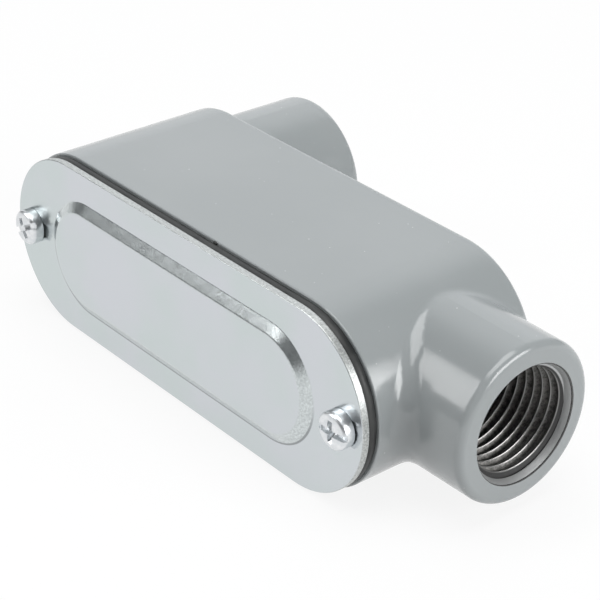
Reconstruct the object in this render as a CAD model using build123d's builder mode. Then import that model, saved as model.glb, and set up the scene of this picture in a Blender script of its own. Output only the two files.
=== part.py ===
"""Right-angle conduit body for half inch rigid conduit: one outlet in the end, one in the back.

A grey painted die-cast housing is closed by a stamped steel cover on a rubber gasket, held by
two machine screws. Lengths are in millimetres, +Z is up and the cover faces -Y. The origin is
on the ground under the middle of the whole part.
"""

import os

from build123d import *

os.makedirs("parts", exist_ok=True)

# Housing casting
BODY_LENGTH = 104.1
BODY_WIDTH = 35.7
BODY_DEPTH = 36.4
BACK_ROUND = 1.6
RIM_ROUND = 0.3
WALL = 2.6
BACK_WALL = 2.8
CAVITY_ROUND = 3.0

# Hubs, both for the same conduit. The end hub's barrel is nearly flush with the body's back
HUB_SIDE_STEP = 2.45
HUB_ROOT_RADIUS = BODY_WIDTH / 2 - HUB_SIDE_STEP
HUB_DRAFT = 0.2
HUB_MOUTH_RADIUS = HUB_ROOT_RADIUS - HUB_DRAFT
HUB_ROOT_INSET = 12.0
HUB_MOUTH_ROUND = 1.5
END_HUB_STANDS = 12.7
END_HUB_REACH = BODY_LENGTH / 2 + END_HUB_STANDS
END_HUB_PROUD = 0.05
END_HUB_DEPTH = BODY_DEPTH - HUB_ROOT_RADIUS + END_HUB_PROUD
END_HUB_BLEND = 3.5
BACK_HUB_STEP = 3.55
BACK_HUB_OFFSET = BODY_LENGTH / 2 - HUB_ROOT_RADIUS - BACK_HUB_STEP
BACK_HUB_STANDS = 20.75
BACK_HUB_REACH = BODY_DEPTH + BACK_HUB_STANDS
BACK_HUB_BLEND = 0.7

# Conduit bores: a plain lip, the threaded wall, then the shoulder that stops the pipe
THREAD_RADIUS = 10.6
THREAD_LENGTH = 13.0
LIP_RADIUS = THREAD_RADIUS + 0.55
LIP_LENGTH = 2.0
SHOULDER_RADIUS = THREAD_RADIUS - 2.6
SHOULDER_LENGTH = 2.4
SHOULDER_ROUND = 1.0
THROAT_RADIUS = THREAD_RADIUS
COLLAR_RADIUS = THREAD_RADIUS + 2.4

# Cover and gasket, each a little smaller than what it lies on
COVER_STEP = 0.35
COVER_LENGTH = BODY_LENGTH - 2 * COVER_STEP
COVER_WIDTH = BODY_WIDTH - 2 * COVER_STEP
COVER_THICK = 1.4
COVER_EDGE_ROUND = 0.35
SCREW_EDGE_DISTANCE = 5.35
SCREW_SPACING = COVER_LENGTH - 2 * SCREW_EDGE_DISTANCE
CLEARANCE_HOLE_RADIUS = 2.15
PANEL_TO_SCREW = 7.15
PANEL_LENGTH = SCREW_SPACING - 2 * PANEL_TO_SCREW
PANEL_BORDER = 5.7
PANEL_WIDTH = COVER_WIDTH - 2 * PANEL_BORDER
PANEL_RISE = 1.15
PANEL_SLOPE = 2.7
PANEL_ROUND = 1.0
PANEL_BACK_INSET = 0.3
GASKET_STEP = 0.05
GASKET_THICK = 1.9
GASKET_LENGTH = COVER_LENGTH - 2 * GASKET_STEP
GASKET_WIDTH = COVER_WIDTH - 2 * GASKET_STEP
OPENING_TO_SCREW = 4.55
GASKET_OPENING_LENGTH = SCREW_SPACING - 2 * OPENING_TO_SCREW
OPENING_BORDER = 4.0
GASKET_OPENING_WIDTH = COVER_WIDTH - 2 * OPENING_BORDER

# Cover screws, and the bosses inside the rounded ends that take them
HEAD_RADIUS = 3.5
HEAD_HEIGHT = 2.7
HEAD_CROWN = 0.4
HEAD_ROUND = 0.8
SHANK_RADIUS = 1.75
SHANK_LENGTH = 9.5
TIP_CHAMFER = 0.5
TAPPED_RADIUS = SHANK_RADIUS + 0.05
TAPPED_DEPTH = SHANK_LENGTH - 1.5
BOSS_RADIUS = TAPPED_RADIUS + 2.2
BOSS_LENGTH = TAPPED_DEPTH + 1.2
BOSS_TAPER = 1.4

# Places in the row frame, from the sizes above
CENTRE_X = (BODY_LENGTH / 2 - END_HUB_REACH) / 2
AXIS_Z = BODY_WIDTH / 2
DEPTH_ALL = HEAD_HEIGHT + COVER_THICK + GASKET_THICK + BACK_HUB_REACH
FACE_Y = HEAD_HEIGHT - DEPTH_ALL / 2
SEAT_Y = FACE_Y + COVER_THICK + GASKET_THICK
SCREW_PLACES = ((-SCREW_SPACING / 2, 0), (SCREW_SPACING / 2, 0))


def across(y):
    """A sketch plane that looks along +Y, centred on the body's long axis."""
    return Plane(origin=(CENTRE_X, y, AXIS_Z), x_dir=(1, 0, 0), z_dir=(0, 1, 0))


def half_section(mouth):
    """A plane through a hub's axis: X runs up from the axis and Y from the mouth inwards."""
    return Plane(mouth.origin, x_dir=(0, 0, 1), z_dir=Vector(0, 0, 1).cross(mouth.z_dir))


# The mouths of the hubs, with their normals pointing into the part
end_mouth = Plane(
    origin=(CENTRE_X + END_HUB_REACH, SEAT_Y + END_HUB_DEPTH, AXIS_Z),
    x_dir=(0, 1, 0),
    z_dir=(-1, 0, 0),
)
back_mouth = Plane(
    origin=(CENTRE_X - BACK_HUB_OFFSET, SEAT_Y + BACK_HUB_REACH, AXIS_Z),
    x_dir=(1, 0, 0),
    z_dir=(0, -1, 0),
)

with BuildPart() as housing:
    # The body is a deep obround box, more rounded at the back than at the gasket's seat
    with BuildSketch(across(SEAT_Y)):
        SlotOverall(BODY_LENGTH, BODY_WIDTH)
    extrude(amount=BODY_DEPTH)
    fillet(housing.faces().sort_by(Axis.Y)[-1].edges(), radius=BACK_ROUND)
    fillet(housing.faces().sort_by(Axis.Y)[0].edges(), radius=RIM_ROUND)

    # Each hub is a turned barrel with a tapered side, run well into the body. The end hub
    # blends into the rounded end wall, and the back hub stands on the flat back
    for mouth, standing in ((end_mouth, END_HUB_STANDS), (back_mouth, BACK_HUB_STANDS)):
        with BuildSketch(half_section(mouth)) as barrel:
            with BuildLine():
                Polyline(
                    (0, 0),
                    (HUB_MOUTH_RADIUS, 0),
                    (HUB_ROOT_RADIUS, standing + HUB_ROOT_INSET),
                    (0, standing + HUB_ROOT_INSET),
                    close=True,
                )
            make_face()
            mouth_corner = barrel.vertices().group_by(Axis.Y)[0].sort_by(Axis.X)[-1]
            fillet(mouth_corner, radius=HUB_MOUTH_ROUND)
        revolve(axis=Axis(mouth.origin, mouth.z_dir))
        seams = housing.edges(Select.LAST)
        if mouth is end_mouth:
            fillet(seams.filter_by(GeomType.BSPLINE), radius=END_HUB_BLEND)
        else:
            fillet(seams.filter_by(GeomType.CIRCLE).sort_by(Axis.Y)[0], radius=BACK_HUB_BLEND)

    # The wire space follows the outside at the wall thickness, open at the front
    with BuildPart(mode=Mode.SUBTRACT) as wire_space:
        with BuildSketch(across(SEAT_Y)):
            SlotOverall(BODY_LENGTH - 2 * WALL, BODY_WIDTH - 2 * WALL)
        extrude(amount=BODY_DEPTH - BACK_WALL)
        fillet(wire_space.faces().sort_by(Axis.Y)[-1].edges(), radius=CAVITY_ROUND)

    # A boss grows out of each rounded end wall to take a cover screw
    for side in (-1, 1):
        with BuildPart(mode=Mode.ADD) as boss:
            with BuildSketch(across(SEAT_Y)):
                with Locations((side * SCREW_SPACING / 2, 0)):
                    Circle(BOSS_RADIUS)
                    Rectangle(
                        BOSS_RADIUS,
                        2 * BOSS_RADIUS,
                        align=(Align.MIN if side > 0 else Align.MAX, Align.CENTER),
                    )
            extrude(amount=BOSS_LENGTH)
            chamfer(boss.faces().sort_by(Axis.Y)[-1].edges(), length=BOSS_TAPER)

    # A collar inside the end wall carries the end bore's shoulder
    with BuildSketch(end_mouth.offset(LIP_LENGTH + THREAD_LENGTH)):
        Circle(COLLAR_RADIUS)
    extrude(amount=SHOULDER_LENGTH)

    # Both bores have the same turned section, cut inwards from the mouth: the lip, the
    # threaded wall, the rounded shoulder, then a throat as wide as the thread
    shoulder_start = LIP_LENGTH + THREAD_LENGTH
    shoulder_end = shoulder_start + SHOULDER_LENGTH
    for mouth, depth in (
        (end_mouth, shoulder_end + 1),
        (back_mouth, BACK_HUB_STANDS + BACK_WALL + 1),
    ):
        with BuildSketch(half_section(mouth)) as bore:
            with BuildLine():
                Polyline(
                    (0, 0),
                    (LIP_RADIUS, 0),
                    (LIP_RADIUS, LIP_LENGTH),
                    (THREAD_RADIUS, LIP_LENGTH),
                    (THREAD_RADIUS, shoulder_start),
                    (SHOULDER_RADIUS, shoulder_start),
                    (SHOULDER_RADIUS, shoulder_end),
                    (THROAT_RADIUS, shoulder_end),
                    (THROAT_RADIUS, depth),
                    (0, depth),
                    close=True,
                )
            make_face()
            waist = bore.vertices().filter_by(lambda v: abs(v.X - SHOULDER_RADIUS) < 0.01)
            fillet(waist, radius=SHOULDER_ROUND)
        revolve(axis=Axis(mouth.origin, mouth.z_dir), mode=Mode.SUBTRACT)

    # Tapped holes for the cover screws
    with BuildSketch(across(SEAT_Y)):
        with Locations(*SCREW_PLACES):
            Circle(TAPPED_RADIUS)
    extrude(amount=TAPPED_DEPTH, mode=Mode.SUBTRACT)
housing.part.label = "housing"

with BuildPart() as gasket:
    with BuildSketch(across(SEAT_Y - GASKET_THICK)):
        SlotOverall(GASKET_LENGTH, GASKET_WIDTH)
        SlotOverall(GASKET_OPENING_LENGTH, GASKET_OPENING_WIDTH, mode=Mode.SUBTRACT)
        with Locations(*SCREW_PLACES):
            Circle(CLEARANCE_HOLE_RADIUS, mode=Mode.SUBTRACT)
    extrude(amount=GASKET_THICK)
gasket.part.label = "gasket"

with BuildPart() as cover:
    with BuildSketch(across(FACE_Y)):
        SlotOverall(COVER_LENGTH, COVER_WIDTH)
    extrude(amount=COVER_THICK)
    fillet(cover.faces().sort_by(Axis.Y)[0].edges(), radius=COVER_EDGE_ROUND)

    # The panel is pressed outwards, so the sheet keeps its thickness and is hollow behind
    for y, inset, mode in (
        (FACE_Y, 0, Mode.ADD),
        (FACE_Y + COVER_THICK, PANEL_BACK_INSET, Mode.SUBTRACT),
    ):
        with BuildSketch(across(y)):
            SlotOverall(PANEL_LENGTH - 2 * inset, PANEL_WIDTH - 2 * inset)
        top_inset = inset + PANEL_SLOPE
        with BuildSketch(across(y - PANEL_RISE)):
            SlotOverall(PANEL_LENGTH - 2 * top_inset, PANEL_WIDTH - 2 * top_inset)
        loft(mode=mode)
        bends = cover.edges(Select.LAST).filter_by(Plane.XZ)
        fillet(bends, radius=PANEL_ROUND)
    with BuildSketch(across(FACE_Y)):
        with Locations(*SCREW_PLACES):
            Circle(CLEARANCE_HOLE_RADIUS)
    extrude(amount=COVER_THICK, mode=Mode.SUBTRACT)
cover.part.label = "cover"

for name, side in (("screw_closed_end", -1), ("screw_hub_end", 1)):
    # The section's X runs out from the screw's axis and its Y out of the cover
    seat = (CENTRE_X + side * SCREW_SPACING / 2, FACE_Y, AXIS_Z)
    with BuildPart() as screw:
        with BuildSketch(Plane(origin=seat, x_dir=(1, 0, 0), z_dir=(0, 0, -1))):
            with BuildLine():
                Polyline(
                    (0, HEAD_HEIGHT),
                    (0, -SHANK_LENGTH),
                    (SHANK_RADIUS - TIP_CHAMFER, -SHANK_LENGTH),
                    (SHANK_RADIUS, TIP_CHAMFER - SHANK_LENGTH),
                    (SHANK_RADIUS, 0),
                    (HEAD_RADIUS, 0),
                    (HEAD_RADIUS, HEAD_HEIGHT - HEAD_CROWN),
                )
                ThreePointArc(
                    (HEAD_RADIUS, HEAD_HEIGHT - HEAD_CROWN),
                    (HEAD_RADIUS / 2, HEAD_HEIGHT - HEAD_CROWN / 4),
                    (0, HEAD_HEIGHT),
                )
            make_face()
        revolve(axis=Axis(seat, (0, 1, 0)))
        circles = screw.edges().filter_by(GeomType.CIRCLE)
        rims = circles.filter_by(lambda e: abs(e.radius - HEAD_RADIUS) < 0.01)
        fillet(rims.sort_by(Axis.Y)[0], radius=HEAD_ROUND)
    screw.part.label = name
    export_step(screw.part, f"parts/{name}.step")

export_step(housing.part, "parts/housing.step")
export_step(gasket.part, "parts/gasket.step")
export_step(cover.part, "parts/cover.step")
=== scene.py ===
"""Studio view of a right-angle conduit body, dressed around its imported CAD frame.

Lengths are in metres, in the CAD's own frame: the cover faces -Y, +Z is up, and the origin is on
the ground under the middle of the part.
"""

import math

import bmesh
import bpy
from mathutils import Matrix, Vector


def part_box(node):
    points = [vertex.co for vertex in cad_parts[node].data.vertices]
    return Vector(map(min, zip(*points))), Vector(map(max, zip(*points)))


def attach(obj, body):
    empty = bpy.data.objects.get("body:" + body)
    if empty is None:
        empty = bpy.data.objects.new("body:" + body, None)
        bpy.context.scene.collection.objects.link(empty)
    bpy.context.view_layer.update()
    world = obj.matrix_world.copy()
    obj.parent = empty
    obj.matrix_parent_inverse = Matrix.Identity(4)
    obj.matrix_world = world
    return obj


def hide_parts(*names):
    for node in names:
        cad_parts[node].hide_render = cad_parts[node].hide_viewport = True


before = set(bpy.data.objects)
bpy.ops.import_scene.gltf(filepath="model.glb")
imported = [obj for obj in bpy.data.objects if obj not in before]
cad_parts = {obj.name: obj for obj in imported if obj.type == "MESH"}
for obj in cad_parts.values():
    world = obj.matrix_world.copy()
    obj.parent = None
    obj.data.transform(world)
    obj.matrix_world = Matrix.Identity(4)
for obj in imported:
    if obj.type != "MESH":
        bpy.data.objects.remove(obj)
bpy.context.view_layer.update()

# Housing. One aluminium die casting with both hubs, painted in a semi-gloss grey enamel. The
# bores were threaded after painting, so their walls are bare metal. Its CAD node is the surface.
MM = 0.001
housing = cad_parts["housing"]
cover_low, cover_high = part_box("cover")
CENTRE_X = (cover_low.x + cover_high.x) / 2
AXIS_Z = (cover_low.z + cover_high.z) / 2
housing_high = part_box("housing")[1]
END_AXIS_Y = -4.525 * MM
BACK_AXIS_X = -39.45 * MM
WALL_RADIUS = 10.6 * MM
LIP_RADIUS = 11.15 * MM
BORE_LENGTH = 18 * MM
BORE_CLEAR = 0.2 * MM
CREST_RADIUS = 9.8 * MM
PIPE_TAPER = 1 / 32
SINK_DEPTH = 1.3 * MM
OFF_CENTRE = 0.2 * MM


def add(tree, kind, inputs=(), **settings):
    """A new node in the tree. inputs holds (socket, value or feeding socket) pairs."""
    node = tree.nodes.new(kind)
    for name, value in settings.items():
        setattr(node, name, value)
    for socket, value in inputs:
        if isinstance(value, bpy.types.NodeSocket):
            tree.links.new(value, node.inputs[socket])
        else:
            node.inputs[socket].default_value = value
    return node


def new_material(name, **values):
    """A material, its node tree, its shader and its object coordinates."""
    material = bpy.data.materials.new(name)
    material.use_nodes = True
    tree = material.node_tree
    shader = tree.nodes["Principled BSDF"]
    for socket, value in values.items():
        shader.inputs[socket.replace("_", " ")].default_value = value
    return material, tree, shader, add(tree, "ShaderNodeTexCoord").outputs["Object"]


def noise(tree, coordinates, scale, detail=2.0, roughness=0.5):
    """The value of a noise texture with that many waves per metre."""
    inputs = (
        ("Vector", coordinates),
        ("Scale", scale),
        ("Detail", detail),
        ("Roughness", roughness),
    )
    return add(tree, "ShaderNodeTexNoise", inputs).outputs["Fac"]


def ramp(tree, value, low, high, out_low=0.0, out_high=1.0):
    """value carried smoothly from low..high to out_low..out_high."""
    inputs = (
        ("Value", value),
        ("From Min", low),
        ("From Max", high),
        ("To Min", out_low),
        ("To Max", out_high),
    )
    made = add(tree, "ShaderNodeMapRange", inputs, interpolation_type="SMOOTHSTEP")
    return made.outputs["Result"]


def mix(tree, factor, first, second):
    """One colour fading into another as factor goes from 0 to 1."""
    inputs = ((0, factor), (6, first), (7, second))
    return add(tree, "ShaderNodeMix", inputs, data_type="RGBA").outputs[2]


def maths(tree, operation, first, second=0.0):
    """One step of arithmetic on values."""
    inputs = ((0, first), (1, second))
    return add(tree, "ShaderNodeMath", inputs, operation=operation).outputs[0]


def bump(tree, height, distance, strength=1.0, under=None):
    """A surface normal raised by height, over another normal if one is given."""
    inputs = [("Height", height), ("Distance", distance), ("Strength", strength)]
    if under:
        inputs.append(("Normal", under))
    return add(tree, "ShaderNodeBump", inputs).outputs["Normal"]


def feed(tree, shader, **sockets):
    """Connects node outputs to the shader's sockets."""
    for name, source in sockets.items():
        tree.links.new(source, shader.inputs[name.replace("_", " ")])


paint, tree, shader, here = new_material("grey_enamel", IOR=1.58)
tone = noise(tree, here, 35, 3)
even = mix(tree, ramp(tree, tone, 0.3, 0.7), (0.259, 0.279, 0.283, 1), (0.273, 0.292, 0.296, 1))
dust_cells = add(tree, "ShaderNodeTexVoronoi", (("Vector", here), ("Scale", 620)))
dust_size = add(tree, "ShaderNodeSeparateColor", (("Color", dust_cells.outputs["Color"]),))
dust_reach = ramp(tree, dust_size.outputs["Red"], 0.5, 1.0, 0.0, 0.085)
dust = maths(tree, "LESS_THAN", dust_cells.outputs["Distance"], dust_reach)
dusty = mix(tree, dust, even, (0.43, 0.45, 0.45, 1))


def hub_places(tree, here, shift=0.0):
    """For each hub: how far a point lies from the bore's axis, and how deep from the mouth.

    shift moves the axis sideways, towards +Y in the end hub and +X in the back one, and half as
    far down.
    """
    place = add(tree, "ShaderNodeSeparateXYZ", (("Vector", here),)).outputs
    upright = maths(tree, "SUBTRACT", place["Z"], AXIS_Z - shift / 2)
    upright = maths(tree, "POWER", upright, 2.0)
    found = []
    for across, offset, along, mouth in (
        ("Y", END_AXIS_Y, "X", housing_high.x),
        ("X", BACK_AXIS_X, "Y", housing_high.y),
    ):
        level = maths(tree, "SUBTRACT", place[across], offset + shift)
        level = maths(tree, "POWER", level, 2.0)
        radius = maths(tree, "SQRT", maths(tree, "ADD", level, upright))
        found.append((radius, maths(tree, "SUBTRACT", mouth, place[along])))
    return found


# A near-black line is painted inside one side of each mouth's rim, about an axis shifted a little
# off
# centre: painted shade, standing for the shadow at the edge of the lip
rim_shades = []
for radius, depth in hub_places(tree, here, OFF_CENTRE):
    inside = maths(tree, "LESS_THAN", radius, LIP_RADIUS + 0.9 * OFF_CENTRE)
    rim_shades.append(maths(tree, "MULTIPLY", inside, maths(tree, "LESS_THAN", depth, 0.5 * MM)))
rim_shade = maths(tree, "MAXIMUM", rim_shades[0], rim_shades[1])
surface = bump(tree, noise(tree, here, 90), 0.03 * MM, 0.5)
surface = bump(tree, noise(tree, here, 900), 0.008 * MM, 0.6, surface)
feed(
    tree,
    shader,
    # The near-black on the mouth's rim is painted shade
    Base_Color=mix(tree, rim_shade, dusty, (0.02, 0.02, 0.02, 1)),
    Roughness=ramp(tree, noise(tree, here, 400, 4), 0.2, 0.8, 0.12, 0.2),
    Normal=surface,
)

bare, tree, shader, here = new_material("bare_aluminium")
# The countersink is bright, the thread's crests are rubbed and its torn flanks are dull. The
# groove before the first turn is painted near-black, a painted shade for the shadow in it
lead_ins, crests, first_turn_shades = [], [], []
for radius, depth in hub_places(tree, here):
    in_hub = maths(tree, "LESS_THAN", radius, LIP_RADIUS + BORE_CLEAR)
    in_hub = maths(tree, "MULTIPLY", in_hub, maths(tree, "GREATER_THAN", depth, 0.0))
    lead_in = ramp(tree, depth, SINK_DEPTH, SINK_DEPTH + 0.1 * MM, 1.0, 0.0)
    lead_ins.append(maths(tree, "MULTIPLY", in_hub, lead_in))
    from_crest = maths(tree, "SUBTRACT", radius, CREST_RADIUS)
    from_crest = maths(tree, "ADD", from_crest, maths(tree, "MULTIPLY", depth, PIPE_TAPER))
    crest = ramp(tree, from_crest, 0.08 * MM, 0.3 * MM, 1.0, 0.0)
    crests.append(maths(tree, "MULTIPLY", in_hub, crest))
    first_turn_shade = ramp(tree, depth, 2.2 * MM, 4.2 * MM, 1.0, 0.0)
    first_turn_shades.append(maths(tree, "MULTIPLY", in_hub, first_turn_shade))
lead_in = maths(tree, "MAXIMUM", lead_ins[0], lead_ins[1])
rubbed = maths(tree, "MAXIMUM", crests[0], crests[1])
first_turn_shade = maths(tree, "MAXIMUM", first_turn_shades[0], first_turn_shades[1])
torn = ramp(tree, noise(tree, here, 1500, 4, 0.8), 0.35, 0.65)
dull = mix(tree, torn, (0.11, 0.108, 0.102, 1), (0.36, 0.35, 0.335, 1))
# Painted shade: the groove before the first turn goes near-black
dull = mix(tree, first_turn_shade, dull, (0.035, 0.035, 0.035, 1))
threaded = mix(tree, rubbed, dull, (0.24, 0.24, 0.235, 1))
bright_spot = maths(tree, "MAXIMUM", rubbed, maths(tree, "MULTIPLY", lead_in, 0.6))
feed(
    tree,
    shader,
    Base_Color=mix(tree, lead_in, threaded, (0.5, 0.51, 0.51, 1)),
    Metallic=ramp(tree, bright_spot, 0.0, 1.0, 0.35, 1.0),
    Roughness=ramp(tree, maths(tree, "SUBTRACT", rubbed, lead_in), 0.0, 1.0, 0.58, 0.28),
    Normal=bump(tree, noise(tree, here, 2200, 3, 0.8), 0.06 * MM),
)

housing.data.materials.clear()
housing.data.materials.append(paint)
housing.data.materials.append(bare)
for face in housing.data.polygons:
    spot = face.center
    from_end = math.hypot(spot.y - END_AXIS_Y, spot.z - AXIS_Z)
    from_back = math.hypot(spot.x - BACK_AXIS_X, spot.z - AXIS_Z)
    in_end = from_end < WALL_RADIUS + BORE_CLEAR and spot.x > housing_high.x - BORE_LENGTH
    in_back = from_back < WALL_RADIUS + BORE_CLEAR and spot.y > housing_high.y - BORE_LENGTH
    face.material_index = 1 if in_end or in_back else 0

# Hub threads. The tapered pipe thread in each hub is cut in the casting, here as one ridge that
# winds along the bare wall and fades out at both ends. A node group makes it from its sizes.
LIP_LENGTH = 2.0 * MM
THREAD_LENGTH = 13.0 * MM
THREAD_START = 0.7 * MM
THREAD_END = LIP_LENGTH + THREAD_LENGTH - 0.4 * MM
PIPE_PITCH = 1.877 * MM
RIDGE_ROOT = LIP_RADIUS + 0.05 * MM
START_ANGLE = math.radians(-150)


def thread_ridge():
    """A node group: a helix about +Z, with rounded crests, from its sizes."""
    group = bpy.data.node_groups.new("ThreadRidge", "GeometryNodeTree")
    sockets = (
        ("Root Radius", 10.0 * MM),
        ("Depth", 1.0 * MM),
        ("Pitch", 1.0 * MM),
        ("Turns", 5.0),
        ("Taper", 0.0),
        ("Root Width", 0.9 * MM),
        ("Crest Width", 0.2 * MM),
        ("Crest Round", 0.05 * MM),
        ("Fade Turns", 0.5),
        ("Facing", 1.0),
    )
    for name, value in sockets:
        entry = group.interface.new_socket(name, in_out="INPUT", socket_type="NodeSocketFloat")
        entry.default_value = value
    group.interface.new_socket("Metal", in_out="INPUT", socket_type="NodeSocketMaterial")
    group.interface.new_socket("Ridge", in_out="OUTPUT", socket_type="NodeSocketGeometry")
    given = add(group, "NodeGroupInput").outputs

    def calc(operation, first, second):
        inputs = ((0, first), (1, second))
        return add(group, "ShaderNodeMath", inputs, operation=operation).outputs[0]

    # Taper is the radius lost in one turn
    lost = calc("MULTIPLY", given["Taper"], given["Turns"])
    centre_line = add(
        group,
        "GeometryNodeCurveSpiral",
        (
            ("Resolution", 120),
            ("Rotations", given["Turns"]),
            ("Start Radius", given["Root Radius"]),
            ("End Radius", calc("SUBTRACT", given["Root Radius"], lost)),
            ("Reverse", True),
            ("Height", calc("MULTIPLY", given["Pitch"], given["Turns"])),
        ),
    )
    upright = add(
        group,
        "GeometryNodeSetCurveNormal",
        (("Curve", centre_line.outputs[0]),),
        mode="Z_UP",
    )
    # The ridge grows from nothing at one end and sinks to nothing at the other
    along = add(group, "GeometryNodeSplineParameter").outputs["Factor"]
    turn_here = calc("MULTIPLY", along, given["Turns"])
    turns_left = calc("SUBTRACT", given["Turns"], turn_here)
    nearest_end = calc("MINIMUM", turn_here, turns_left)
    fade = calc("MINIMUM", calc("DIVIDE", nearest_end, given["Fade Turns"]), 1.0)
    section = add(
        group,
        "GeometryNodeCurvePrimitiveQuadrilateral",
        (
            ("Height", given["Depth"]),
            ("Bottom Width", given["Root Width"]),
            ("Top Width", given["Crest Width"]),
            ("Offset", 0.0),
        ),
        mode="TRAPEZOID",
    )
    softened = add(
        group,
        "GeometryNodeFilletCurve",
        (
            ("Curve", section.outputs[0]),
            ("Count", 3),
            ("Radius", given["Crest Round"]),
            ("Limit Radius", True),
        ),
        mode="POLY",
    )
    rise = add(group, "ShaderNodeCombineXYZ", (("Y", calc("MULTIPLY", given["Depth"], 0.5)),))
    standing = add(
        group,
        "GeometryNodeTransform",
        (("Geometry", softened.outputs[0]), ("Translation", rise.outputs[0])),
    )
    # Facing is 1 for a ridge that stands out from the axis and -1 for one that stands in
    quarter_turn = calc("MULTIPLY", given["Facing"], math.radians(-90))
    facing = add(group, "ShaderNodeCombineXYZ", (("Z", quarter_turn),))
    turned = add(
        group,
        "GeometryNodeTransform",
        (("Geometry", standing.outputs[0]), ("Rotation", facing.outputs[0])),
    )
    swept = add(
        group,
        "GeometryNodeCurveToMesh",
        (
            ("Curve", upright.outputs[0]),
            ("Profile Curve", turned.outputs[0]),
            ("Scale", fade),
            ("Fill Caps", True),
        ),
    )
    real = add(group, "GeometryNodeRealizeInstances", (("Geometry", swept.outputs[0]),))
    painted = add(
        group,
        "GeometryNodeSetMaterial",
        (("Geometry", real.outputs[0]), ("Material", given["Metal"])),
    )
    add(group, "NodeGroupOutput", (("Ridge", painted.outputs[0]),))
    return group


def piece(name, mesh, *materials):
    """A new object at the origin for a mesh that is already in place."""
    made = bpy.data.objects.new(name, mesh)
    bpy.context.scene.collection.objects.link(made)
    for material in materials:
        mesh.materials.append(material)
    return made


def smooth(mesh, sharp_degrees=35):
    """Outward normals, and smooth shading except across edges sharper than that."""
    same_place = 0.0005 * MM
    shape = bmesh.new()
    shape.from_mesh(mesh)
    bmesh.ops.remove_doubles(shape, verts=shape.verts, dist=same_place)
    bmesh.ops.recalc_face_normals(shape, faces=shape.faces)
    shape.to_mesh(mesh)
    shape.free()
    mesh.shade_smooth()
    mesh.set_sharp_from_angle(angle=math.radians(sharp_degrees))


ridge_group = thread_ridge()


def helix(place, metal, **sizes):
    """The mesh of a thread ridge wound about +Z of place, from the node group."""
    host = bpy.data.objects.new("ridge_host", bpy.data.meshes.new("ridge_host"))
    bpy.context.scene.collection.objects.link(host)
    maker = host.modifiers.new("ridge", "NODES")
    maker.node_group = ridge_group
    ids = {entry.name: entry.identifier for entry in ridge_group.interface.items_tree}
    for name, value in sizes.items():
        maker[ids[name.replace("_", " ")]] = value
    maker[ids["Metal"]] = metal
    ready = host.evaluated_get(bpy.context.evaluated_depsgraph_get())
    mesh = bpy.data.meshes.new_from_object(ready)
    bpy.data.objects.remove(host)
    mesh.transform(place)
    smooth(mesh, 60)
    return mesh


def into_hubs(depth):
    """Each hub's name with the place at that depth on its axis, where +Z points further in."""
    end = Matrix.Translation((housing_high.x - depth, END_AXIS_Y, AXIS_Z))
    back = Matrix.Translation((BACK_AXIS_X, housing_high.y - depth, AXIS_Z))
    return (
        ("end_hub", end @ Matrix.Rotation(math.radians(-90), 4, "Y")),
        ("back_hub", back @ Matrix.Rotation(math.radians(90), 4, "X")),
    )


for hub, place in into_hubs(THREAD_START):
    ridge_mesh = helix(
        place @ Matrix.Rotation(START_ANGLE, 4, "Z"),
        bare,
        Root_Radius=RIDGE_ROOT,
        Depth=RIDGE_ROOT - CREST_RADIUS,
        Pitch=PIPE_PITCH,
        Turns=(THREAD_END - THREAD_START) / PIPE_PITCH,
        Taper=PIPE_PITCH * PIPE_TAPER,
        Root_Width=1.8 * MM,
        Crest_Width=0.25 * MM,
        Crest_Round=0.08 * MM,
        Fade_Turns=0.6,
        Facing=-1.0,
    )
    ridge = piece("thread_" + hub, ridge_mesh)
    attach(ridge, "housing")

# Countersinks. The mouth of each hub is countersunk to lead the conduit in. It is cut with the
# thread in the same bare metal, and here it is a ring that sits in the lip's wall.
SINK_STEPS = 128
SINK_START = 0.15 * MM
SINK_END = LIP_LENGTH - 0.05 * MM
SINK_ROOT = LIP_RADIUS + 0.03 * MM
sink_section = (
    (SINK_ROOT, SINK_START),
    (LIP_RADIUS - 0.02 * MM, SINK_START),
    (WALL_RADIUS, SINK_DEPTH),
    (WALL_RADIUS, SINK_DEPTH + 0.1 * MM),
    (WALL_RADIUS + 0.2 * MM, SINK_END),
    (SINK_ROOT, SINK_END),
)
for hub, place in into_hubs(0):
    name = "countersink_" + hub
    shape = bmesh.new()
    for radius, depth in sink_section:
        for step in range(SINK_STEPS):
            angle = math.tau * step / SINK_STEPS
            shape.verts.new((radius * math.cos(angle), radius * math.sin(angle), depth))
    shape.verts.ensure_lookup_table()
    count = len(sink_section)
    for row in range(count):
        for step in range(SINK_STEPS):
            one, two = row * SINK_STEPS, (row + 1) % count * SINK_STEPS
            ahead = (step + 1) % SINK_STEPS
            corners = (one + step, one + ahead, two + ahead, two + step)
            shape.faces.new([shape.verts[i] for i in corners])
    mesh = bpy.data.meshes.new(name)
    shape.to_mesh(mesh)
    shape.free()
    mesh.transform(place)
    smooth(mesh)
    ring = piece(name, mesh, bare)
    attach(ring, "housing")

# Gasket. A die-cut ring of black rubber, squeezed a little so that its edge bulges between the
# cover and the housing. It has one hole for each screw and rides with the cover.
gasket_low, gasket_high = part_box("gasket")
SCREW_FROM_CENTRE = 46.35 * MM
SCREW_X = (CENTRE_X - SCREW_FROM_CENTRE, CENTRE_X + SCREW_FROM_CENTRE)
HOLE_RADIUS = 2.15 * MM
DRILL_LENGTH = 20 * MM
ARC_STEPS = 56
STRAIGHT_STEPS = 36
EDGE_HALF = 34.2 * MM
EDGE_RADIUS = (gasket_high.z - gasket_low.z) / 2
OPENING_HALF = 28.3 * MM
OPENING_RADIUS = 13.5 * MM
BULGE = 0.3 * MM
BULGE_STEPS = 8
TAG_PLACE = Vector((1.7 * MM, gasket_high.y, AXIS_Z + EDGE_RADIUS))
TAG_SHAPE = Matrix.Diagonal((0.6, 0.3, 0.34, 1))


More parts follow.
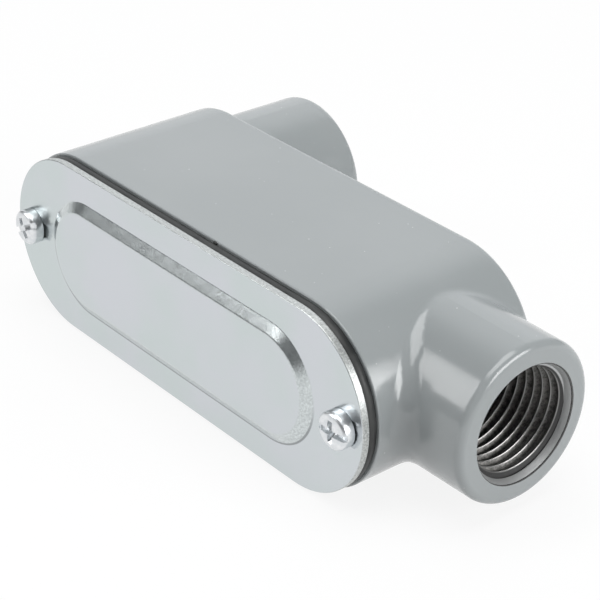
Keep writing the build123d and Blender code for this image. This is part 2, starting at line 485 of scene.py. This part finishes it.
def obround(half_straight, radius, y):
    """The points of an obround ring about the body's long axis, at that depth."""
    points = []
    for side, start in ((1, -90), (-1, 90)):
        for step in range(ARC_STEPS + 1):
            angle = math.radians(start + 180 * step / ARC_STEPS)
            across = side * half_straight + radius * math.cos(angle)
            points.append(Vector((CENTRE_X + across, y, AXIS_Z + radius * math.sin(angle))))
        for step in range(1, STRAIGHT_STEPS):
            across = side * half_straight * (1 - 2 * step / STRAIGHT_STEPS)
            points.append(Vector((CENTRE_X + across, y, AXIS_Z + side * radius)))
    return points


def loft(name, rings, closed):
    """A mesh through rings of equally many points. closed joins the last ring to the first."""
    shape = bmesh.new()
    made = [[shape.verts.new(point) for point in ring] for ring in rings]
    pairs = list(zip(made, made[1:]))
    if closed:
        pairs.append((made[-1], made[0]))
    for one, other in pairs:
        for i in range(len(one)):
            shape.faces.new((one[i - 1], one[i], other[i], other[i - 1]))
    mesh = bpy.data.meshes.new(name)
    shape.to_mesh(mesh)
    shape.free()
    return mesh


def rounded(outline, radii, steps=6):
    """A closed outline of 2-D points whose corners become arcs. radii go with the points."""
    points = []
    for i, (corner, radius) in enumerate(zip(outline, radii)):
        here = Vector(corner)
        if not radius:
            points.append(here)
            continue
        back = (Vector(outline[i - 1]) - here).normalized()
        ahead = (Vector(outline[(i + 1) % len(outline)]) - here).normalized()
        half = back.angle(ahead) / 2
        middle = here + (back + ahead).normalized() * radius / math.sin(half)
        first = here + back * radius / math.tan(half) - middle
        last = here + ahead * radius / math.tan(half) - middle
        for step in range(steps + 1):
            spoke = first.normalized().slerp(last.normalized(), step / steps)
            points.append(middle + spoke * radius)
    return points


def supported(outline, gap):
    """An open outline with a point a gap inside each end of its long runs, to keep flats flat."""
    points = [outline[0]]
    for one, other in zip(outline, outline[1:]):
        run = (other - one).length
        if run > 4 * gap:
            points += [one.lerp(other, gap / run), other.lerp(one, gap / run)]
        points.append(other)
    return points


def bake(target):
    """Applies the piece's modifiers to its mesh."""
    ready = target.evaluated_get(bpy.context.evaluated_depsgraph_get())
    mesh = bpy.data.meshes.new_from_object(ready)
    target.modifiers.clear()
    target.data = mesh


def cut_away(target, mesh):
    """Takes a mesh out of the piece, for good."""
    cutter = piece("cutter", mesh)
    cut = target.modifiers.new("cut", "BOOLEAN")
    cut.object = cutter
    cut.solver = "EXACT"
    bake(target)
    bpy.data.objects.remove(cutter)


def drill_screw_holes(target):
    """Cuts the two round holes for the cover screws through the piece."""
    for x in SCREW_X:
        place = Matrix.Translation((x, cover_low.y, AXIS_Z))
        rod = bmesh.new()
        bmesh.ops.create_cone(
            rod,
            cap_ends=True,
            segments=64,
            radius1=HOLE_RADIUS,
            radius2=HOLE_RADIUS,
            depth=DRILL_LENGTH,
            matrix=place @ Matrix.Rotation(math.radians(90), 4, "X"),
        )
        mesh = bpy.data.meshes.new("drill")
        rod.to_mesh(mesh)
        rod.free()
        cut_away(target, mesh)


rubber, tree, shader, here = new_material("black_rubber", Specular_IOR_Level=0.4)
bloom = ramp(tree, noise(tree, here, 300, 3), 0.35, 0.75)
feed(
    tree,
    shader,
    Base_Color=mix(tree, bloom, (0.018, 0.019, 0.019, 1), (0.042, 0.044, 0.043, 1)),
    Roughness=ramp(tree, bloom, 0.0, 1.0, 0.42, 0.6),
    Normal=bump(tree, noise(tree, here, 1800, 3), 0.02 * MM),
)

thick = gasket_high.y - gasket_low.y
rings = []
for step in range(BULGE_STEPS + 1):
    share = step / BULGE_STEPS
    swell = BULGE * (math.sin(math.pi * share) - 1)
    rings.append(obround(EDGE_HALF, EDGE_RADIUS + swell, gasket_low.y + thick * share))
for share in (1, 0):
    rings.append(obround(OPENING_HALF, OPENING_RADIUS, gasket_low.y + thick * share))
gasket = piece("gasket_ring", loft("gasket_ring", rings, True), rubber)
# The die left one small tag of rubber at the top, where the cut began
tagged = bmesh.new()
tagged.from_mesh(gasket.data)
bmesh.ops.create_icosphere(
    tagged,
    subdivisions=3,
    radius=MM,
    matrix=Matrix.Translation(TAG_PLACE) @ TAG_SHAPE,
)
tagged.to_mesh(gasket.data)
tagged.free()
smooth(gasket.data, 50)
drill_screw_holes(gasket)
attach(gasket, "cover")
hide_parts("gasket")

# Cover. One stamped steel sheet with a raised panel, zinc plated. The press left its sheared
# edge bright and rounded over at the front, and the drawn slope round the panel grainy.
COVER_THICK = 1.4 * MM
PANEL_RISE = 1.25 * MM
FACE_Y = cover_high.y - COVER_THICK
COVER_RADIUS = (cover_high.z - cover_low.z) / 2
COVER_HALF = (cover_high.x - cover_low.x) / 2 - COVER_RADIUS
PANEL_RADIUS = 11.8 * MM
PANEL_HALF = 27.4 * MM
PANEL_SLOPE = 2.25 * MM
BACK_INSET = 0.3 * MM
CENTRES_CHANGE_OVER = 4 * MM
FLAT_SUPPORT = 0.12 * MM


def half_at(radius):
    """Where the rings of the cover have their arc centres: the panel's, then the edge's."""
    share = min(max((radius - PANEL_RADIUS) / CENTRES_CHANGE_OVER, 0), 1)
    return PANEL_HALF + (COVER_HALF - PANEL_HALF) * share


top_y = FACE_Y - PANEL_RISE
root = PANEL_RADIUS - BACK_INSET
section = rounded(
    (
        (0, top_y),
        (PANEL_RADIUS - PANEL_SLOPE, top_y),
        (PANEL_RADIUS, FACE_Y),
        (COVER_RADIUS, FACE_Y),
        (COVER_RADIUS, FACE_Y + COVER_THICK),
        (root, FACE_Y + COVER_THICK),
        (root - PANEL_SLOPE, top_y + COVER_THICK),
        (0, top_y + COVER_THICK),
    ),
    (0, 1.4 * MM, 0.7 * MM, 0.18 * MM, 0.08 * MM, 0.7 * MM, 1.0 * MM, 0),
)
section = supported(section, FLAT_SUPPORT)
rings = [obround(half_at(point.x), point.x, point.y) for point in section]
cover = piece("cover_plate", loft("cover_plate", rings, False))
smooth(cover.data, 40)
drill_screw_holes(cover)

zinc, tree, shader, here = new_material("zinc_plate", Metallic=1.0)
place = add(tree, "ShaderNodeSeparateXYZ", (("Vector", here),)).outputs


def from_obround(half_straight):
    """How far a point lies from the straight line between an obround's arc centres."""
    sideways = maths(tree, "ABSOLUTE", maths(tree, "SUBTRACT", place["X"], CENTRE_X))
    past_end = maths(tree, "MAXIMUM", maths(tree, "SUBTRACT", sideways, half_straight), 0.0)
    along = maths(tree, "POWER", past_end, 2.0)
    upward = maths(tree, "POWER", maths(tree, "SUBTRACT", place["Z"], AXIS_Z), 2.0)
    return maths(tree, "SQRT", maths(tree, "ADD", along, upward))


from_panel = from_obround(PANEL_HALF)
plateau = PANEL_RADIUS - PANEL_SLOPE
rising = ramp(tree, from_panel, plateau - 0.4 * MM, plateau + 0.2 * MM)
falling = ramp(tree, from_panel, PANEL_RADIUS - 0.3 * MM, PANEL_RADIUS + 0.15 * MM, 1.0, 0.0)
slope = maths(tree, "MULTIPLY", rising, falling)
sheared = ramp(tree, from_obround(COVER_HALF), COVER_RADIUS - 0.15 * MM, COVER_RADIUS - 0.02 * MM)
cloud = ramp(tree, noise(tree, here, 55, 4, 0.6), 0.3, 0.7)
spangle = noise(tree, here, 450, 4, 0.7)
speckle = ramp(tree, noise(tree, here, 2600, 3, 0.85), 0.3, 0.7)
flat_tone = mix(tree, cloud, (0.575, 0.63, 0.63, 1), (0.61, 0.632, 0.665, 1))
drawn_tone = mix(tree, speckle, (0.47, 0.505, 0.51, 1), (0.69, 0.735, 0.74, 1))
sheared_tone = mix(tree, speckle, (0.33, 0.345, 0.34, 1), (0.66, 0.68, 0.67, 1))
# Along the bottom of the panel a fine dark line is painted at the foot of the slope, fading out
# towards the top: painted shade
crease_shade = ramp(tree, from_panel, PANEL_RADIUS - 0.35 * MM, PANEL_RADIUS - 0.15 * MM)
past_crease = ramp(tree, from_panel, PANEL_RADIUS + 0.05 * MM, PANEL_RADIUS + 0.25 * MM, 1.0, 0.0)
low_side_shade = ramp(tree, place["Z"], AXIS_Z - 6 * MM, AXIS_Z + 2 * MM, 0.75, 0.0)
crease_shade = maths(tree, "MULTIPLY", maths(tree, "MULTIPLY", crease_shade, past_crease), low_side_shade)
crease_shade_tone = (0.2, 0.215, 0.22, 1)
# The dark line at the panel's lower edge is painted shade
drawn_tone = mix(tree, crease_shade, drawn_tone, crease_shade_tone)
flat_tone = mix(tree, crease_shade, flat_tone, crease_shade_tone)
worked = maths(tree, "MAXIMUM", slope, sheared)
polish = ramp(tree, spangle, 0.2, 0.8, 0.17, 0.24)
polish = maths(tree, "ADD", polish, maths(tree, "MULTIPLY", sheared, 0.22))
surface = bump(tree, noise(tree, here, 120), 0.02 * MM, 0.6)
grain_strength = ramp(tree, worked, 0.0, 1.0, 0.03, 0.35)
feed(
    tree,
    shader,
    Base_Color=mix(tree, sheared, mix(tree, slope, flat_tone, drawn_tone), sheared_tone),
    Roughness=maths(tree, "ADD", polish, maths(tree, "MULTIPLY", worked, 0.02)),
    Normal=bump(tree, noise(tree, here, 4200, 3, 0.8), 0.02 * MM, grain_strength, surface),
)
cover.data.materials.append(zinc)
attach(cover, "cover")
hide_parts("cover")

# Cover screws. Two machine screws with rounded cheese heads that take a blade or a cross
# driver, bright zinc plated, each turning in a tapped boss behind the cover.
HEAD_RADIUS = 3.5 * MM
HEAD_HEIGHT = 2.7 * MM
HEAD_CROWN = 0.4 * MM
SHANK_RADIUS = 1.75 * MM
SHANK_LENGTH = 9.5 * MM
SCREW_PITCH = 0.8 * MM
SCREW_DEPTH = 0.42 * MM
SLOT_WIDTH = 1.15 * MM
SLOT_DEPTH = 1.1 * MM
CROSS_REACH = 2.3 * MM
CROSS_WIDTH = 1.0 * MM
CROSS_DEPTH = 1.9 * MM
CROSS_BOTTOM = 0.6 * MM
CROSS_FLARE = 0.8 * MM
CROWN_STEPS = 10
CUT_HEIGHT = HEAD_HEIGHT + MM
SLOT_ANGLES = {"screw_closed_end": 28, "screw_hub_end": 2}

bright, tree, shader, here = new_material("bright_zinc", Metallic=1.0)
wear = ramp(tree, noise(tree, here, 900, 4, 0.7), 0.3, 0.75)
feed(
    tree,
    shader,
    Base_Color=mix(tree, wear, (0.7, 0.73, 0.75, 1), (0.84, 0.85, 0.86, 1)),
    Roughness=ramp(tree, wear, 0.0, 1.0, 0.4, 0.28),
    Normal=bump(tree, noise(tree, here, 1600, 3), 0.02 * MM, 0.5),
)


def turned(name, outline, steps=96):
    """A closed solid turned about +Z from (radius, height) points that start and end on it."""
    shape = bmesh.new()
    turns = [math.tau * step / steps for step in range(steps)]
    rings = [
        [shape.verts.new((x * math.cos(turn), x * math.sin(turn), z)) for turn in turns]
        for x, z in outline[1:-1]
    ]
    first, last = (shape.verts.new((0, 0, outline[end][1])) for end in (0, -1))
    for i in range(steps):
        shape.faces.new((first, rings[0][i - 1], rings[0][i]))
        for one, other in zip(rings, rings[1:]):
            shape.faces.new((one[i - 1], other[i - 1], other[i], one[i]))
        shape.faces.new((last, rings[-1][i], rings[-1][i - 1]))
    mesh = bpy.data.meshes.new(name)
    shape.to_mesh(mesh)
    shape.free()
    smooth(mesh)
    return mesh


def wedge(name, corners_low, corners_high):
    """A closed block between a lower and an upper ring of four corners."""
    shape = bmesh.new()
    low = [shape.verts.new(corner) for corner in corners_low]
    high = [shape.verts.new(corner) for corner in corners_high]
    shape.faces.new(low[::-1])
    shape.faces.new(high)
    for i in range(4):
        shape.faces.new((low[i - 1], low[i], high[i], high[i - 1]))
    mesh = bpy.data.meshes.new(name)
    shape.to_mesh(mesh)
    shape.free()
    smooth(mesh)
    return mesh


def rectangle(half_x, half_y, z):
    """The four corners of a level rectangle about the Z axis."""
    return [(sx * half_x, sy * half_y, z) for sx, sy in ((-1, -1), (1, -1), (1, 1), (-1, 1))]


for (name, angle), x in zip(SLOT_ANGLES.items(), SCREW_X):
    outline = [Vector((0, HEAD_HEIGHT))]
    for step in range(1, CROWN_STEPS + 1):
        share = step / CROWN_STEPS
        outline.append(Vector((HEAD_RADIUS * share, HEAD_HEIGHT - HEAD_CROWN * share**2)))
    outline += [
        Vector((HEAD_RADIUS, 0)),
        Vector((SHANK_RADIUS - SCREW_DEPTH, 0)),
        Vector((SHANK_RADIUS - SCREW_DEPTH, 0.4 * MM - SHANK_LENGTH)),
        Vector((SHANK_RADIUS - 0.8 * MM, -SHANK_LENGTH)),
        Vector((0, -SHANK_LENGTH)),
    ]
    # The head's rim is rounded, so the crown's last two points before it make way
    radii = [0] * len(outline)
    radii[CROWN_STEPS] = 0.8 * MM
    radii[CROWN_STEPS + 1] = 0.15 * MM
    del outline[CROWN_STEPS - 2 : CROWN_STEPS], radii[CROWN_STEPS - 2 : CROWN_STEPS]
    screw = piece(name + "_metal", turned(name, rounded(outline, radii)))
    slot = wedge(
        "blade_slot",
        rectangle(HEAD_RADIUS + MM, SLOT_WIDTH / 2, HEAD_HEIGHT - SLOT_DEPTH),
        rectangle(HEAD_RADIUS + MM, SLOT_WIDTH / 2, CUT_HEIGHT),
    )
    cut_away(screw, slot)
    for quarter in (0, 90):
        arm = wedge(
            "cross_arm",
            rectangle(CROSS_BOTTOM, CROSS_WIDTH / 2, HEAD_HEIGHT - CROSS_DEPTH),
            rectangle(CROSS_REACH + CROSS_FLARE, CROSS_WIDTH / 2 + 0.1 * MM, CUT_HEIGHT),
        )
        arm.transform(Matrix.Rotation(math.radians(quarter), 4, "Z"))
        cut_away(screw, arm)
    smooth(screw.data)
    soft_edge = screw.modifiers.new("soft_edge", "BEVEL")
    soft_edge.width = 0.06 * MM
    soft_edge.segments = 2
    soft_edge.limit_method = "ANGLE"
    bake(screw)
    ridge_mesh = helix(
        Matrix.Translation((0, 0, -SHANK_LENGTH + 0.2 * MM)),
        bright,
        Root_Radius=SHANK_RADIUS - SCREW_DEPTH - 0.04 * MM,
        Depth=SCREW_DEPTH,
        Pitch=SCREW_PITCH,
        Turns=(SHANK_LENGTH - 0.4 * MM) / SCREW_PITCH,
        Root_Width=0.7 * MM,
        Crest_Width=0.1 * MM,
        Crest_Round=0.04 * MM,
        Fade_Turns=1.0,
        Facing=1.0,
    )
    whole = bmesh.new()
    whole.from_mesh(screw.data)
    whole.from_mesh(ridge_mesh)
    whole.to_mesh(screw.data)
    whole.free()
    seat = Matrix.Translation((x, FACE_Y, AXIS_Z)) @ Matrix.Rotation(math.radians(90), 4, "X")
    screw.data.transform(seat @ Matrix.Rotation(math.radians(angle), 4, "Z"))
    screw.data.materials.clear()
    screw.data.materials.append(bright)
    screw.data.shade_smooth()
    screw.data.set_sharp_from_angle(angle=math.radians(35))
    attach(screw, name)
    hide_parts(name)

# Studio. The part rests on a wide matt white floor under a grey sky. Large soft lights stand
# above, in front on the left and on the right.
FLOOR_HALF = 3.0
floor_mesh = bpy.data.meshes.new("floor")
floor_mesh.from_pydata(rectangle(FLOOR_HALF, FLOOR_HALF, 0), [], [(0, 1, 2, 3)])
white, tree, shader, here = new_material("white_floor", Roughness=0.9, Specular_IOR_Level=0.1)
sweep = mix(tree, noise(tree, here, 3, 2), (0.76, 0.76, 0.76, 1), (0.78, 0.78, 0.78, 1))
feed(tree, shader, Base_Color=sweep)
# The sweep burns out to white for the camera and in the metal, over a faint contact shadow
glow = add(tree, "ShaderNodeEmission", (("Color", (1, 1, 1, 1)), ("Strength", 1.0)))
ray = add(tree, "ShaderNodeLightPath").outputs
seen = maths(tree, "ADD", ray["Is Camera Ray"], ray["Is Glossy Ray"])
seen = maths(tree, "ADD", seen, ray["Is Transmission Ray"])
burnt = maths(tree, "MULTIPLY", seen, 0.88)
layers = ((0, burnt), (1, shader.outputs[0]), (2, glow.outputs[0]))
blend = add(tree, "ShaderNodeMixShader", layers)
tree.links.new(blend.outputs[0], tree.nodes["Material Output"].inputs["Surface"])
floor = piece("floor", floor_mesh, white)

# The sky is dim grey all round, and glows softly behind the part on the left
world = bpy.data.worlds.new("studio")
bpy.context.scene.world = world
world.use_nodes = True
sky = world.node_tree
GLOW_SIDE = (-0.683, 0.573, 0.454)
look = add(sky, "ShaderNodeTexCoord").outputs["Generated"]
towards_glow = ((0, look), (1, GLOW_SIDE))
facing_glow = add(sky, "ShaderNodeVectorMath", towards_glow, operation="DOT_PRODUCT")
sky_light = sky.nodes["Background"].inputs
sky_light["Color"].default_value = (0.96, 0.98, 1.0, 1)
glow_strength = ramp(sky, facing_glow.outputs["Value"], 0.7, 0.98, 0.16, 1.2)
sky.links.new(glow_strength, sky_light["Strength"])


def softbox(name, azimuth, elevation, distance, width, height, watts):
    """A rectangular light aimed at the object. Azimuth 0 is in front, 90 on the right."""
    light = bpy.data.lights.new(name, "AREA")
    light.shape = "RECTANGLE"
    light.size = width
    light.size_y = height
    light.energy = watts
    made = bpy.data.objects.new(name, light)
    bpy.context.scene.collection.objects.link(made)
    turn, lift = math.radians(azimuth), math.radians(elevation)
    towards = Vector(
        (math.sin(turn) * math.cos(lift), -math.cos(turn) * math.cos(lift), math.sin(lift))
    )
    middle = Vector((0, 0, AXIS_Z))
    made.location = middle + towards * distance
    made.rotation_euler = towards.to_track_quat("Z", "Y").to_euler()


softbox("top", 0, 88, distance=1.1, width=0.9, height=0.9, watts=9.6)
softbox("front_left", -35, 31.8, distance=0.8, width=0.34, height=0.47, watts=2.15)
softbox("right", 107, 20, distance=0.9, width=0.58, height=0.4, watts=5.6)

# Camera. The camera and its lens are those of the photograph, solved from its outlines. It
# looks down from the front right, onto the cover and into the end hub.
CAMERA_PLACE = (0.24043, -0.207309, 0.193447)
CAMERA_RIGHT = Vector((0.638165, 0.769761, 0.014629))
CAMERA_BACK = Vector((0.665613, -0.561172, 0.491981))
LENS_MILLIMETRES = 116.23
SENSOR_MILLIMETRES = 36
camera_data = bpy.data.cameras.new("camera")
camera_data.lens = LENS_MILLIMETRES
camera_data.sensor_width = SENSOR_MILLIMETRES
camera_data.clip_start = 10 * MM
camera = bpy.data.objects.new("camera", camera_data)
bpy.context.scene.collection.objects.link(camera)
axes = Matrix((CAMERA_RIGHT, CAMERA_BACK.cross(CAMERA_RIGHT), CAMERA_BACK)).transposed()
camera.matrix_world = Matrix.Translation(CAMERA_PLACE) @ axes.to_4x4()
bpy.context.scene.camera = camera
bpy.context.scene.view_settings.view_transform = "Standard"
